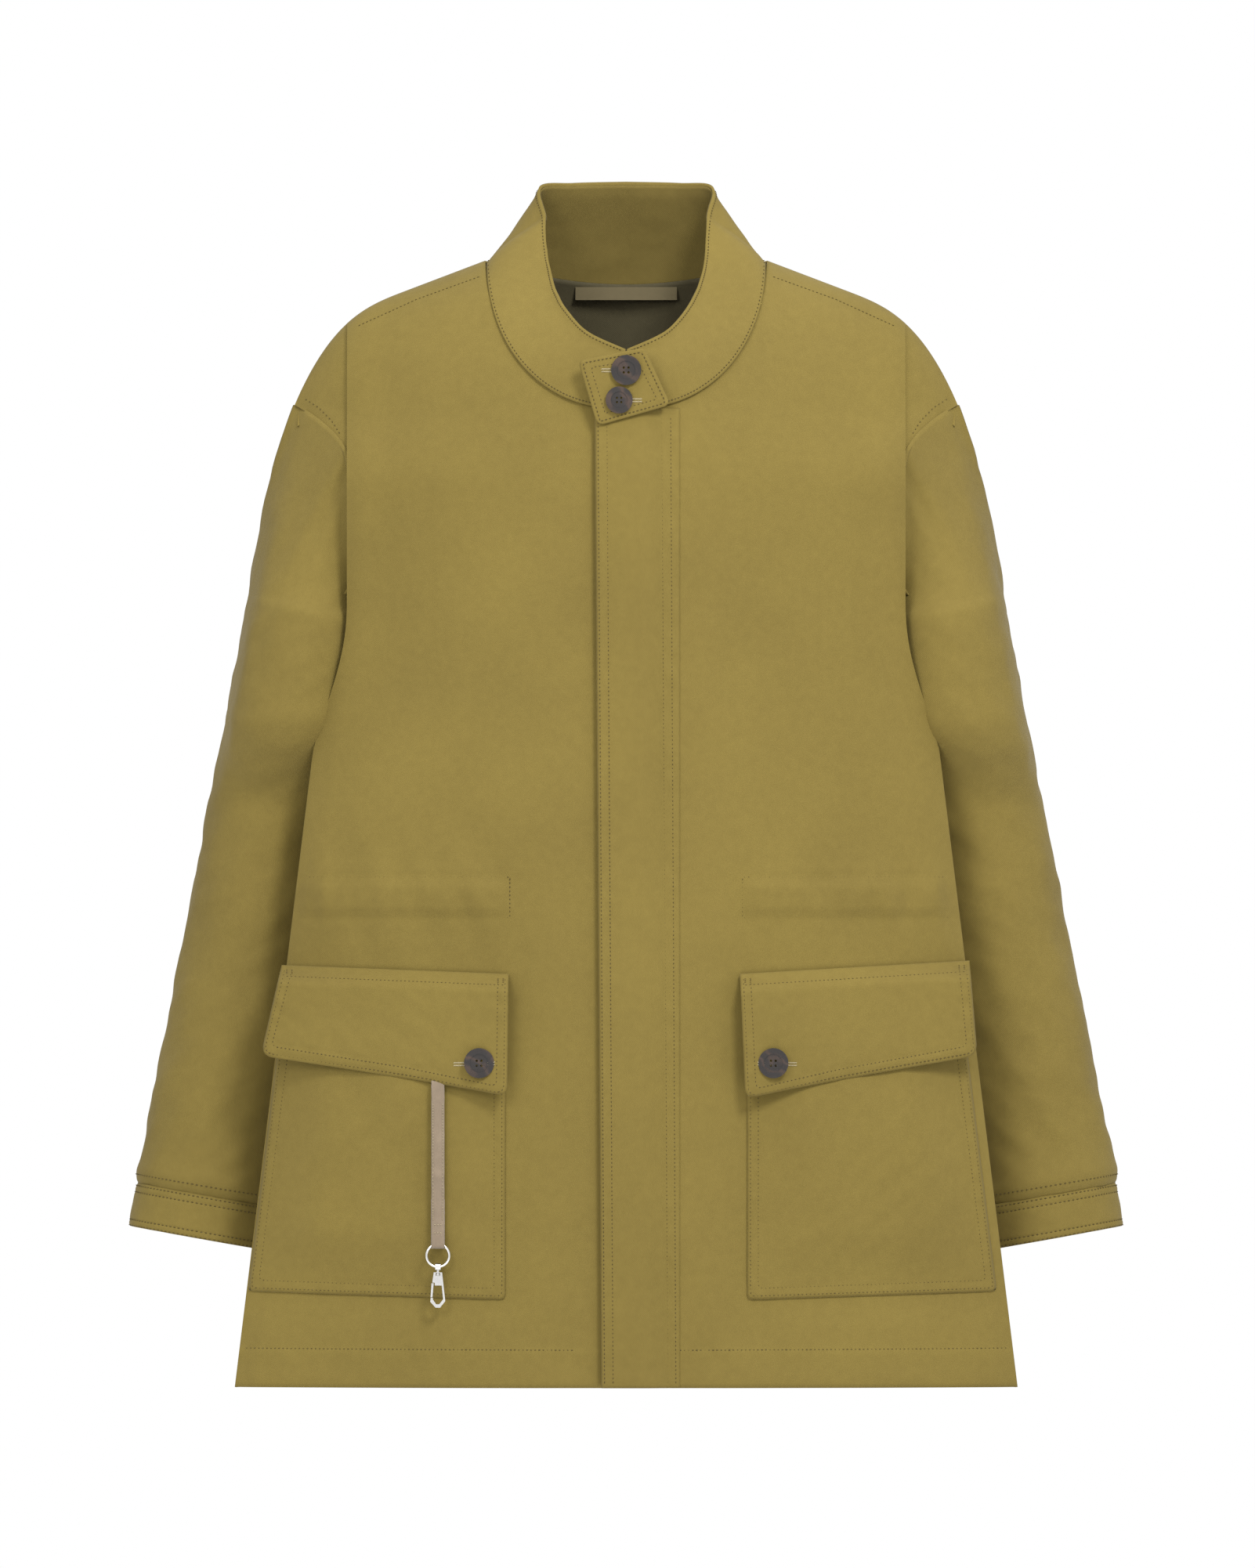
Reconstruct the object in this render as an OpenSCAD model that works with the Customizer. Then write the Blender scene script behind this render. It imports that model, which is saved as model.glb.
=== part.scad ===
// Stand-collar field coat with a fly front, throat tab, flap pockets and a
// hanging key strap. Heights are worked out from the hem, and every node is
// then hung from the loop at the back of the neck, which is the origin.

/* [Body] */
// Half width of the body at the hem
hem_half = 300; // [285:1:315]
// Half width of the body under the arms
chest_half = 214; // [205:1:225]
// Half width at the drop of the shoulder
shoulder_half = 256; // [248:1:264]
// Depth of the front and back from the middle at the hem
hem_depth = 84; // [76:1:92]
// Depth of the front and back from the middle at the chest
chest_depth = 95; // [88:1:102]
// Height at the centre front of the collar seam
front_neck_z = 751; // [745:1:757]
// Height at the centre back of the collar seam
back_neck_z = 847; // [842:1:852]
// Half width of the neck at the shoulder seam
neck_half = 107; // [102:1:112]

/* [Cloth] */
// Thickness of a shell panel
cloth = 2; // [1.5:0.1:2.4]
// Thickness of the lining
lining = 1.2; // [0.8:0.1:1.4]
// Gap between shell and lining
air = 0.8; // [0.6:0.1:1]

/* [Sleeves] */
// Half width of a sleeve end seen from the front
cuff_half = 54; // [50:1:58]
// Half depth of a sleeve end
cuff_deep = 42; // [38:1:46]
// Height of the cuff band
cuff_tall = 50; // [44:1:54]

/* [Pockets] */
// Room inside a patch pocket at its middle
pocket_room = 9; // [8:0.5:11]
// Distance from the centre front to the inner side of a pocket
pocket_in = 92; // [88:1:96]
// Height of a pocket's lower edge
pocket_low = 68; // [60:1:76]
// Diameter of every button
button_d = 23; // [20:1:25]

/* [Front closure] */
// Reach of the fly past the centre front
fly_reach = 24; // [20:1:28]
// Gap between the fly and the panel that it covers
fly_gap = 4.4; // [4.2:0.1:5]
// Distance between the middles of neighbouring zip teeth
tooth_pitch = 5; // [4:0.5:6]

/* [Key strap] */
// Width of the strap
strap_w = 10; // [8:0.5:12]
// Length of the strap that hangs below the pocket flap
strap_len = 126; // [118:1:127]
// Wire thickness of the ring
ring_wire = 1.9; // [1.6:0.1:2.2]

/* [Hidden] */

khaki = [0.50, 0.43, 0.24];
inner_khaki = [0.34, 0.30, 0.20];
webbing = [0.52, 0.44, 0.34];
horn = [0.16, 0.11, 0.09];
thread = [0.62, 0.55, 0.38];
nickel = [0.75, 0.75, 0.77];
$fn = 48;

// Heights of the main lines, from the hem
arm_base = 700;      // where the side turns out to the shoulder
tip_z = 754;         // end of the shoulder seam
dome_z = 690;        // where the front starts to fall back to the shoulder
split_side = 690;    // upper edge of an opening front at the side
split_mid = 731;     // the same edge at the centre front
split_gap = 2.6;
crown_z = 905;       // height at which the two shoulder slopes would meet
shoulder_fall = 0.38;
side_y = -25;        // the side seams lie this far forward
ridge_y = 8;         // the shoulder seams lie this far back
front_edge = 7.5;      // a front panel stops this far from the centre
loop_z = 846;
loop_y = 62;

function clip(t) = min(max(t, 0), 1);
function smooth(t) = let (c = clip(t)) c*c*(3 - 2*c);
function mix(a, b, t) = a + (b - a)*t;
function unit(v) = v/max(norm(v), 0.000001);

// Shape of the body: half width, middle and depth at a height
function half_w(z) = z < arm_base ? mix(hem_half, chest_half, z/arm_base)
    : mix(chest_half, shoulder_half, pow(clip((z - arm_base)/(tip_z - arm_base)), 2.2));
function mid_y(z) = mix(side_y, ridge_y, smooth((z - dome_z)/(tip_z - dome_z)));
function depth(z) = mix(hem_depth, chest_depth, clip(z/arm_base));
function ridge_z(x) = crown_z - shoulder_fall*abs(x) - 54.5*pow(max(0, (abs(x) - 170)/84), 3);
function dome(x, z) = z <= dome_z ? 1 : let (t = clip((z - dome_z)/(ridge_z(x) - dome_z))) sqrt(1 - t*t);
function lens(x, z, power) = pow(max(0, 1 - pow(x/half_w(z), 2)), power);
function front_y(x, z) = mid_y(z) - (depth(z) + mid_y(z))*lens(x, z, 0.85)*dome(x, z);
function back_y(x, z) = mid_y(z) + (depth(z) - mid_y(z))*lens(x, z, 0.6)*dome(x, z);

// Edges of the neck
function front_neck(x) = front_neck_z
    + (ridge_z(neck_half) - front_neck_z)*(1 - sqrt(max(0, 1 - pow(min(abs(x)/neck_half, 1), 2.3))));
function back_neck(x) = mix(back_neck_z, ridge_z(neck_half), pow(min(abs(x)/neck_half, 1), 2));

// A smooth curve through points, t from 0 to 1
function curve(p, t) = let (n = len(p) - 1, s = clip(t)*n, k = min(floor(s), n - 1), f = s - k,
    a = p[max(k - 1, 0)], b = p[k], c = p[k + 1], d = p[min(k + 2, n)])
    b + f*((c - a)/2 + f*((2*a - 5*b + 4*c - d)/2 + f*(3*b - a - 3*c + d)/2));

// A grid is a list of rows. Its outward side has the columns running right
// and the rows running up.
function grid_normal(g, i, j) = let (r = len(g) - 1, c = len(g[0]) - 1)
    unit(cross(g[j][min(i + 1, c)] - g[j][max(i - 1, 0)], g[min(j + 1, r)][i] - g[max(j - 1, 0)][i]));
function lifted(g, d) = d == 0 ? g : [for (j = [0:len(g) - 1]) [for (i = [0:len(g[0]) - 1])
    g[j][i] + d*grid_normal(g, i, j)]];
function flat_list(g) = [for (row = g) each row];
function quad(a, b, c, d) = [[a, b, c], [a, c, d]];

// Cloth between two layers of the same grid, outer layer first
module sheet(outer, inner) {
    c = len(outer[0]);
    r = len(outer);
    n = c*r;
    polyhedron(points = concat(flat_list(outer), flat_list(inner)), faces = concat(
        [for (j = [0:r - 2], i = [0:c - 2]) each quad(j*c + i, (j + 1)*c + i, (j + 1)*c + i + 1, j*c + i + 1)],
        [for (j = [0:r - 2], i = [0:c - 2]) each
            quad(n + j*c + i, n + j*c + i + 1, n + (j + 1)*c + i + 1, n + (j + 1)*c + i)],
        [for (i = [0:c - 2]) each quad(i, i + 1, n + i + 1, n + i)],
        [for (i = [0:c - 2]) each
            quad((r - 1)*c + i + 1, (r - 1)*c + i, n + (r - 1)*c + i, n + (r - 1)*c + i + 1)],
        [for (j = [0:r - 2]) each quad((j + 1)*c, j*c, n + j*c, n + (j + 1)*c)],
        [for (j = [0:r - 2]) each
            quad(j*c + c - 1, (j + 1)*c + c - 1, n + (j + 1)*c + c - 1, n + j*c + c - 1)]),
        convexity = 8);
}
module cloth_sheet(g, out, thick) sheet(lifted(g, out), lifted(g, out - thick));

// A tube of cloth between two lists of rings; rings run anticlockwise seen
// from the last ring
module tube(outer, inner) {
    m = len(outer[0]);
    r = len(outer);
    n = m*r;
    polyhedron(points = concat(flat_list(outer), flat_list(inner)), faces = concat(
        [for (j = [0:r - 2], i = [0:m - 1]) let (k = (i + 1)%m)
            each quad(j*m + i, (j + 1)*m + i, (j + 1)*m + k, j*m + k)],
        [for (j = [0:r - 2], i = [0:m - 1]) let (k = (i + 1)%m)
            each quad(n + j*m + i, n + j*m + k, n + (j + 1)*m + k, n + (j + 1)*m + i)],
        [for (i = [0:m - 1]) let (k = (i + 1)%m) each quad(i, k, n + k, n + i)],
        [for (i = [0:m - 1]) let (k = (i + 1)%m, b = (r - 1)*m)
            each quad(b + k, b + i, n + b + i, n + b + k)]),
        convexity = 8);
}

// Every node hangs from the loop
module hung() translate([0, -loop_y, -loop_z]) children();
module side_of(right) mirror([right ? 1 : 0, 0, 0]) children();

// ---- Body panels ----
function split_z(u) = mix(split_mid, split_side, u);
// Grid of an opening front; the wearer's left, from the centre to the side
function front_grid(x0, z0, z1, cols = 12, rows = 14) = [for (j = [0:rows]) [for (i = [0:cols])
    let (u = sin(90*i/cols), z = mix(z0, z1 + split_z(u) - split_mid, j/rows), x = mix(x0, half_w(z), u))
    [x, front_y(x, z), z]]];
function upper_grid(x0, cols = 16, rows = 8) = [for (j = [0:rows]) [for (i = [0:cols])
    let (x = mix(x0, 250, i/cols),
        low = x < chest_half ? split_z(x/chest_half) + split_gap
            : arm_base + (tip_z - arm_base)*pow((x - chest_half)/(shoulder_half - chest_half), 1/2.2),
        high = x < neck_half ? min(front_neck(x), ridge_z(x)) - 0.5 : ridge_z(x),
        s0 = asin(clip((low - dome_z)/(ridge_z(x) - dome_z))),
        s1 = min(asin(clip((high - dome_z)/(ridge_z(x) - dome_z))), 89),
        z = dome_z + (ridge_z(x) - dome_z)*sin(mix(s0, s1, j/rows)))
    [x, front_y(x, z), z]]];
// The back runs from the wearer's left side to the right side. Its sides
// turn in at the armholes.
arm_mid_z = 680;
arm_half = 74;
function arm_open(z) = abs(z - arm_mid_z) < arm_half ? sqrt(1 - pow((z - arm_mid_z)/arm_half, 2)) : 0;
function back_half(z) = half_w(min(z, tip_z))*(1 - 0.26*arm_open(z));
function back_low(z0, cols = 24, rows = 20) = [for (j = [0:rows]) [for (i = [0:cols])
    let (z = mix(z0, dome_z, j/rows), x = (back_half(z) - 0.6)*sin(mix(90, -90, i/cols)))
    [x, back_y(x, z) + 1, z]]];
function back_top(j, rows, cols = 24) = [for (i = [0:cols])
    let (s = sin(mix(90, -90, i/cols)), edge = mix(back_half(dome_z), 250, smooth(j/rows)),
        x = edge*s, top = abs(x) < neck_half ? back_neck(x) : ridge_z(x),
        a = min(asin(clip((top - dome_z)/(ridge_z(x) - dome_z))), 89),
        z = dome_z + (ridge_z(x) - dome_z)*sin(a*j/rows))
    [x, back_y(x, z) + 1, z]];
function back_grid(z0) = concat(back_low(z0), [for (j = [1:9]) back_top(j, 9)]);

lining_out = -cloth - air;
module back_panel() { color(khaki) hung() cloth_sheet(back_grid(0), 0, cloth); }
module back_lining() { color(inner_khaki) hung() cloth_sheet(back_low(26), lining_out - 1.6, lining); }
module upper_front(right) { color(khaki) hung() side_of(right) cloth_sheet(upper_grid(1), 0, cloth); }
module upper_lining(right) {
    color(inner_khaki) hung() side_of(right)
        cloth_sheet([for (row = upper_grid(1)) [for (i = [0:11]) row[i]]], lining_out, lining);
}
module front(right) { color(khaki) hung() side_of(right) cloth_sheet(front_grid(front_edge, 0, split_mid), 0, cloth); }
module front_lining(right) {
    color(inner_khaki) hung() side_of(right)
        cloth_sheet([for (row = front_grid(16, 26, split_mid)) [for (i = [0:10]) row[i]]], lining_out - 1.4, lining);
}

// ---- Collar ----
collar_edge = [[0.6, -84, 795], [30, -77, 809], [48, -60, 829], [57, -40, 848], [60, -22, 868],
    [62, 0, 898], [67, 20, 921], [40, 38, 924], [0, 43, 925]];
function collar_foot(t) = t < 0.62
    ? let (x = neck_half*sin(90*t/0.62), z = front_neck(x) + 1)
        [max(x, 0.6), front_y(x, z) + 0.5, z + 0.5]
    : let (x = neck_half*cos(90*(t - 0.62)/0.38), z = back_neck(x) + 1)
        [x, back_y(x, z) + 0.5, z + 1];
function collar_row(v) = let (half = [for (i = [0:14]) let (t = i/14, a = collar_foot(t), b = curve(collar_edge, t))
    mix(a, b, v) + [0, 0, 0]]) concat(half, [for (i = [13:-1:0]) [-half[i][0], half[i][1], half[i][2]]]);
function collar_grid() = [for (j = [0:5]) collar_row(j/5)];
module collar() { color(khaki) hung() cloth_sheet(collar_grid(), 0, cloth); }
module collar_facing() { color(inner_khaki) hung() cloth_sheet(collar_grid(), lining_out + 0.4, lining); }

loop_w = 70;
loop_d = 5;
module hanger_loop() {
    color([0.45, 0.40, 0.27]) hung() translate([0, loop_y - 0.2, loop_z - 7]) difference() {
        cube([loop_w + 8, 5, 10], center = true);
        translate([0, 1.5, 0]) cube([loop_w - 6, 5.2, 12], center = true);
    }
}

// ---- Throat tab and its buttons ----
tab_corners = [[34, 752], [14, 796], [-37, 786], [-22, 736]];
tab_y = -102;
tab_thick = 2.6;
collar_button_at = [[0, 778.5], [-5.4, 755.6]];
button_t = 3;
module upright(y) translate([0, y, 0]) rotate([90, 0, 0]) children();
module button_disc() {
    difference() {
        cylinder(d = button_d, h = button_t);
        translate([0, 0, 1.8]) cylinder(d = button_d*0.62, h = button_t);
        for (a = [45:90:315]) rotate(a) translate([2.6, 0, -1]) cylinder(d = 1.8, h = button_t + 2);
    }
}
module collar_tab() {
    color(khaki) hung() upright(tab_y) difference() {
        linear_extrude(tab_thick) polygon(tab_corners);
        for (p = collar_button_at) translate([p[0], p[1], -1]) cylinder(d = button_d + 1.6, h = tab_thick + 2);
    }
}
module collar_buttons() {
    color(horn) hung() upright(tab_y - tab_thick + 1) for (k = [0:1])
        translate([collar_button_at[k][0], collar_button_at[k][1], 0]) scale(k == 0 ? 1 : 0.9) button_disc();
}
module collar_button_threads() {
    color(thread) hung() for (p = collar_button_at)
        translate([p[0], front_y(p[0], p[1] > front_neck_z ? 748 : p[1]) - 1, p[1]]) rotate([90, 0, 0])
            cylinder(d = 3, h = abs(tab_y - tab_thick + 1 - (front_y(0, 748) - 1)) - 0.2);
}

// ---- Fly and zip ----
fly_low = 1;
fly_high = split_mid - 2;
// The fly stands off the panel at its free edge and meets it past the zip
function fly_out(x) = 0.3 + cloth + fly_gap*(1 - smooth((x - 12)/20));
function fly_grid() = [for (j = [0:14]) [for (i = [0:8])
    let (z = mix(fly_low, fly_high, j/14), x = mix(-fly_reach + 5*(1 - z/split_mid), 37, i/8))
    [x, front_y(x, z) - fly_out(x), z]]];
module fly() { color(khaki) hung() cloth_sheet(fly_grid(), 0, cloth); }

zip_tilt = atan((front_y(0, 20) - front_y(0, 680))/660);
zip_len = split_mid - 18;
module on_zip(z = 0) hung() translate([0, front_y(0, 0), 0]) rotate([zip_tilt, 0, 0]) translate([0, 0, z]) children();
module zip_tape(right) {
    color([0.25, 0.22, 0.14]) on_zip(10) side_of(right) translate([3.6, cloth + 0.3, 0]) cube([12, 0.7, zip_len]);
}
module zip_teeth(right) {
    count = floor(zip_len/tooth_pitch) - 3;
    s = right ? -1 : 1;
    shift = right ? 0 : tooth_pitch/2;
    color([0.45, 0.40, 0.30]) on_zip(22) translate([0, cloth + 1.0, 0]) rotate([90, 0, 0]) linear_extrude(1.6)
        polygon(concat([[s*3.3, 0], [s*3.3, count*tooth_pitch]], [for (k = [count - 1:-1:0]) each
            [[s*1.6, (k + 1)*tooth_pitch - 0.5], [s*1.6, k*tooth_pitch + shift + 1.9],
             [-s*1.2, k*tooth_pitch + shift + 1.7], [-s*1.2, k*tooth_pitch + shift + 0.6],
             [s*1.6, k*tooth_pitch + shift + 0.4]]]));
}
module zip_box() {
    color(nickel) on_zip(8) translate([-6, cloth - 1.2, 0]) difference() {
        cube([11, 3.2, 12]);
        translate([3, 0.8, -1]) cube([9, 1.6, 14]);
    }
}
module zip_pin() { color(nickel) on_zip(10) translate([0.5, cloth - 0.1, 0]) cube([4, 1, 11.5]); }
slider_z = zip_len - 18;
module zip_slider() {
    color(nickel) on_zip(slider_z) {
        translate([-5.6, cloth - 1.9, 0]) cube([11, 1, 12]);
        translate([-5.6, cloth - 1.9, 0]) cube([1.2, 2, 12]);
        translate([-1, cloth - 2.7, 7]) cube([2, 1, 4]);
    }
}
module zip_pull() { color(nickel) on_zip(slider_z) translate([-2.5, cloth - 3.9, -18]) cube([5, 1, 28]); }

// ---- Waist channel and elastic inside the fronts and the back ----
waist_low = 360;
waist_high = 391;
function band_front() = [for (j = [0:2]) [for (i = [0:8])
    let (z = mix(waist_low, waist_high, j/2), x = mix(90, half_w(z) - 14, i/8)) [x, front_y(x, z), z]]];
function band_back() = [for (j = [0:2]) [for (i = [0:16])
    let (z = mix(waist_low, waist_high, j/2), x = (half_w(z) - 16)*cos(180*i/16)) [x, back_y(x, z) + 1, z]]];
function inner_strip(g, cut) = [for (row = [g[0] + cut*(g[2] - g[0]), g[2] - cut*(g[2] - g[0])]) row];
module front_casing(right) { color(khaki) hung() side_of(right) cloth_sheet(band_front(), -cloth - 0.1, 0.5); }
module back_casing() { color(khaki) hung() cloth_sheet(band_back(), -cloth - 0.1, 0.5); }
module front_elastic(right) {
    color("white") hung() side_of(right) cloth_sheet(inner_strip(band_front(), 0.15), -cloth - 0.8, 0.8);
}
module back_elastic() { color("white") hung() cloth_sheet(inner_strip(band_back(), 0.15), -cloth - 0.8, 0.8); }

// ---- Patch pockets and flaps ----
pocket_top = 300;
function pocket_grid() = [for (j = [0:10]) [for (i = [0:12])
    let (u = i/12, v = j/10, z = mix(pocket_low, pocket_top, v),
        x = mix(pocket_in, min(half_w(z) - 7, 290), u),
        puff = cloth + 0.4 + pocket_room*pow(sin(180*clip(u)), 0.4)
            *(v > 0.5 ? mix(1, 0.5, 2*v - 1) : pow(sin(180*v), 0.5)))
    [x, front_y(x, z) - puff, z]]];
module pocket(right) { color(khaki) hung() side_of(right) cloth_sheet(pocket_grid(), 0, cloth); }

flap_in = 88;
flap_top_in = 318;
flap_top_out = 326;
flap_low_in = 222;
flap_low_out = 254;
function flap_x(u, v) = mix(flap_in, mix(262, 270, v), u);
// A flap is flat across, so that it can turn about a straight seam
flap_seam_in = [flap_in, front_y(flap_in, 320) - pocket_room - 8];
flap_seam_out = [262, front_y(255, 320) - pocket_room - 14];
function flap_y(x) = mix(flap_seam_in[1], flap_seam_out[1], (x - flap_seam_in[0])/(flap_seam_out[0] - flap_seam_in[0]));
function flap_grid() = [for (j = [0:6]) [for (i = [0:8])
    let (u = i/8, v = 1 - j/6, x = flap_x(u, v),
        z = mix(mix(flap_top_in, flap_top_out, u), mix(flap_low_in, flap_low_out, pow(u, 0.85)), v))
    [x, flap_y(x), z]]];
flap_button_at = [112.5, 248.5];
module flap(right) {
    color(khaki) hung() side_of(right) difference() {
        cloth_sheet(flap_grid(), 0, cloth);
        translate([flap_button_at[0], flap_y(flap_button_at[0]) + 12, flap_button_at[1]]) rotate([90, 0, 0])
            cylinder(d = button_d + 3, h = 30);
    }
}
module pocket_button(right) {
    color(horn) hung() side_of(right)
        translate([flap_button_at[0], flap_y(flap_button_at[0]) - 0.5, flap_button_at[1]]) rotate([90, 0, 0]) button_disc();
}

// ---- Sleeves ----
sides = 24;
function arm_ring(d) = [for (k = [0:sides - 1]) let (a = 360*k/sides, z = arm_mid_z + arm_half*cos(a),
    w = half_w(z) + d + 5.5, f = max(0, -sin(a)),
    x = w*(1 - 0.26*f), y = (sin(a) > 0 ? mid_y(z) + 4 - 2*sin(a) : mid_y(z) + 4 + f*74))
    [x, y, z - 3]];
sleeve_knots = [[242, 56, 600], [277, 62, 400], [309, 62, 220], [327, 60, 113]];
function sleeve_ring(t, a_half, b_half) = let (c = curve(sleeve_knots, t), tilt = 10)
    [for (k = [0:sides - 1]) let (a = 360*k/sides)
        c + [a_half*cos(a)*cos(tilt), -b_half*sin(a), a_half*cos(a)*sin(tilt)]];
function shrink(ring, d) = let (c = [for (k = [0:2]) let (s = [for (p = ring) p[k]]) (max(s) + min(s))/2])
    [for (p = ring) p - d*unit([p[0] - c[0], p[1] - c[1], 0])];
sleeve_end = 0.86;
function sleeve_rings() = concat([arm_ring(0), arm_ring(0)*0.55 + sleeve_ring(0, 50, 60)*0.45],
    [for (j = [0:9]) let (t = sleeve_end*j/9)
        sleeve_ring(t, mix(46, cuff_half - 1, t), mix(58, cuff_deep, t))]);
module sleeve(right) {
    color(khaki) hung() side_of(right) let (r = sleeve_rings()) tube([for (q = r) shrink(q, cloth)], r);
}
module sleeve_lining(right) {
    color(inner_khaki) hung() side_of(right) let (r = [for (k = [1:len(sleeve_rings()) - 1]) sleeve_rings()[k]])
        tube([for (q = r) shrink(q, cloth + air + lining)], [for (q = r) shrink(q, cloth + air)]);
}
function cuff_rings() = [for (j = [0:2]) let (t = mix(sleeve_end + 0.005, 1, j/2))
    sleeve_ring(t, cuff_half, cuff_deep + 1)];
module cuff(right) { color(khaki) hung() side_of(right) tube([for (q = cuff_rings()) shrink(q, 3)], cuff_rings()); }

// ---- Key strap, ring and hook, on the wearer's right pocket ----
strap_x = -144;
strap_low = 106;
strap_y = front_y(145, 160) - pocket_room - cloth - 3;
// The sewn end of the strap lies between the pocket and its flap
module strap_anchor() {
    color(webbing) hung() translate([strap_x - strap_w/2, flap_y(-strap_x) + cloth + 2, strap_low + strap_len + 1])
        cube([strap_w, 1, 48]);
}
module key_strap() {
    color(webbing) hung() translate([strap_x - strap_w/2, strap_y, strap_low]) difference() {
        union() {
            translate([0, 0, 4]) cube([strap_w, 1.4, strap_len - 4]);
            translate([0, 0.7, 3.2]) rotate([0, 90, 0]) cylinder(d = 6.4, h = strap_w);
        }
        translate([-1, 0.7, 3.2]) rotate([0, 90, 0]) cylinder(d = 4.2, h = strap_w + 2);
    }
}
ring_r = 8.7;
ring_z = strap_low + 4 - ring_r;
module key_ring() {
    color(nickel) hung() translate([strap_x, strap_y + 0.7, ring_z]) rotate([90, 0, 0])
        rotate_extrude() translate([ring_r, 0]) circle(d = ring_wire);
}
swivel_z = ring_z - ring_r;
module hook_swivel() {
    color(nickel) hung() translate([strap_x, strap_y + 0.7, swivel_z]) {
        difference() {
            rotate([0, 90, 0]) cylinder(d = 5.6, h = 4, center = true);
            rotate([0, 90, 0]) cylinder(d = 2.5, h = 6, center = true);
        }
        translate([0, 0, -5.6]) cylinder(d = 2.2, h = 3.2);
        translate([0, 0, -6.6]) cylinder(d = 4, h = 1);
    }
}
hook_z = swivel_z - 4.2;
hook_t = 3;
hook_out = [[-3.2, 0], [3.2, 0], [5.6, -22], [1.6, -27], [-1.8, -27], [-5.8, -22.5], [-4.4, -8.6]];
hook_in = [[-2.9, -10], [2.9, -10], [4, -20.6], [1, -24.4], [-1.4, -24.4], [-3.9, -20.6]];
gate_at = [-3.9, -9.2];
module hook_body() {
    color(nickel) hung() translate([strap_x, strap_y + 0.7, hook_z]) rotate([90, 0, 0]) difference() {
        translate([0, 0, -hook_t/2]) linear_extrude(hook_t) polygon(hook_out);
        translate([0, 0, -5]) linear_extrude(10) polygon(hook_in);
        translate([0, 0, -5]) linear_extrude(10) polygon([[-7, -7.8], [-2.4, -7.8], [-2.4, -19.5], [-7, -19.5]]);
        translate([0, -0.6, 0]) rotate([-90, 0, 0]) cylinder(d = 2.5, h = 4);
        translate([0, -2.6, 0]) rotate([-90, 0, 0]) cylinder(d = 4.6, h = 2);
        translate([-2.6, -6.6, -0.9]) cube([5.2, 3.4, 1.8]);
    }
}
module hook_gate() {
    color(nickel) hung() translate([strap_x, strap_y + 0.7, hook_z]) rotate([90, 0, 0])
        translate([0, 0, -0.8]) linear_extrude(1.6) difference() {
            polygon([[-4.9, -8.3], [-3.2, -8.3], [-4.2, -19.1], [-5.6, -19.1]]);
            translate(gate_at) circle(d = 1);
        }
}
module gate_pin() {
    color(nickel) hung() translate([strap_x + gate_at[0], strap_y + 0.7, hook_z + gate_at[1]]) rotate([90, 0, 0])
        cylinder(d = 0.9, h = hook_t, center = true);
}
module gate_spring() {
    color(nickel) hung() translate([strap_x, strap_y + 0.7, hook_z - 5]) rotate([90, 0, 0])
        rotate_extrude() translate([1.2, 0]) circle(d = 0.6);
}

back_panel();
back_lining();
upper_front(false);  // left_upper_front
upper_front(true);  // right_upper_front
upper_lining(false);  // left_upper_lining
upper_lining(true);  // right_upper_lining
collar();
collar_facing();
hanger_loop();
collar_buttons();
collar_button_threads();
collar_tab();
front(false);  // left_front
front(true);  // right_front
front_lining(false);  // left_front_lining
front_lining(true);  // right_front_lining
fly();
zip_tape(false);  // left_zip_tape
zip_tape(true);  // right_zip_tape
zip_teeth(false);  // left_zip_teeth
zip_teeth(true);  // right_zip_teeth
zip_box();
zip_pin();
zip_slider();
zip_pull();
pocket(false);  // left_pocket
pocket(true);  // right_pocket
flap(false);  // left_flap
flap(true);  // right_flap
pocket_button(false);  // left_pocket_button
pocket_button(true);  // right_pocket_button
front_casing(false);  // left_waist_casing
front_casing(true);  // right_waist_casing
back_casing();  // back_waist_casing
front_elastic(false);  // left_waist_elastic
front_elastic(true);  // right_waist_elastic
back_elastic();  // back_waist_elastic
sleeve(false);  // left_sleeve
sleeve(true);  // right_sleeve
sleeve_lining(false);  // left_sleeve_lining
sleeve_lining(true);  // right_sleeve_lining
cuff(false);  // left_cuff
cuff(true);  // right_cuff
strap_anchor();
key_strap();
key_ring();
hook_swivel();
hook_body();
hook_gate();
gate_pin();
gate_spring();
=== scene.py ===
import math
import bmesh
import bpy
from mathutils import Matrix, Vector, noise


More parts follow.
